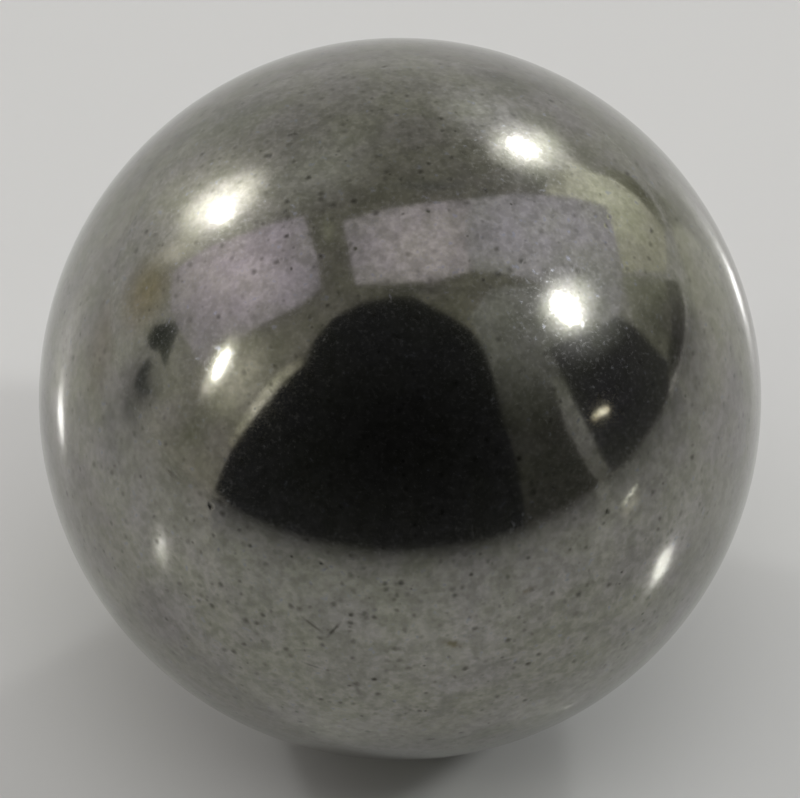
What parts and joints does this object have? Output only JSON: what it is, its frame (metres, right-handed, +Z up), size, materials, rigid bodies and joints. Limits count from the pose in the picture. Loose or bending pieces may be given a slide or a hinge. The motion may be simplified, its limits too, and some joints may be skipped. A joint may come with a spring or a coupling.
{
  "type": "steel ball",
  "caption": "Solid polished steel ball that rolls, weighs down or seats in a cup or race; its mirror finish has fine pits, hairline scratches and a light haze.",
  "frame": {"origin": "centre of the ball", "axes": "+Z up, away from the surface or seat that carries the ball; +Y away from the viewer; every axis through the centre is alike"},
  "size_m": [0.0254, 0.0254, 0.0254],
  "materials": {
    "polished_steel": "mirror-polished bearing steel, slightly warm grey, with fine dark pits, hairline scratches and a thin haze"
  },
  "bodies": {
    "root": {"ball": "polished_steel"}
  },
  "joints": []
}
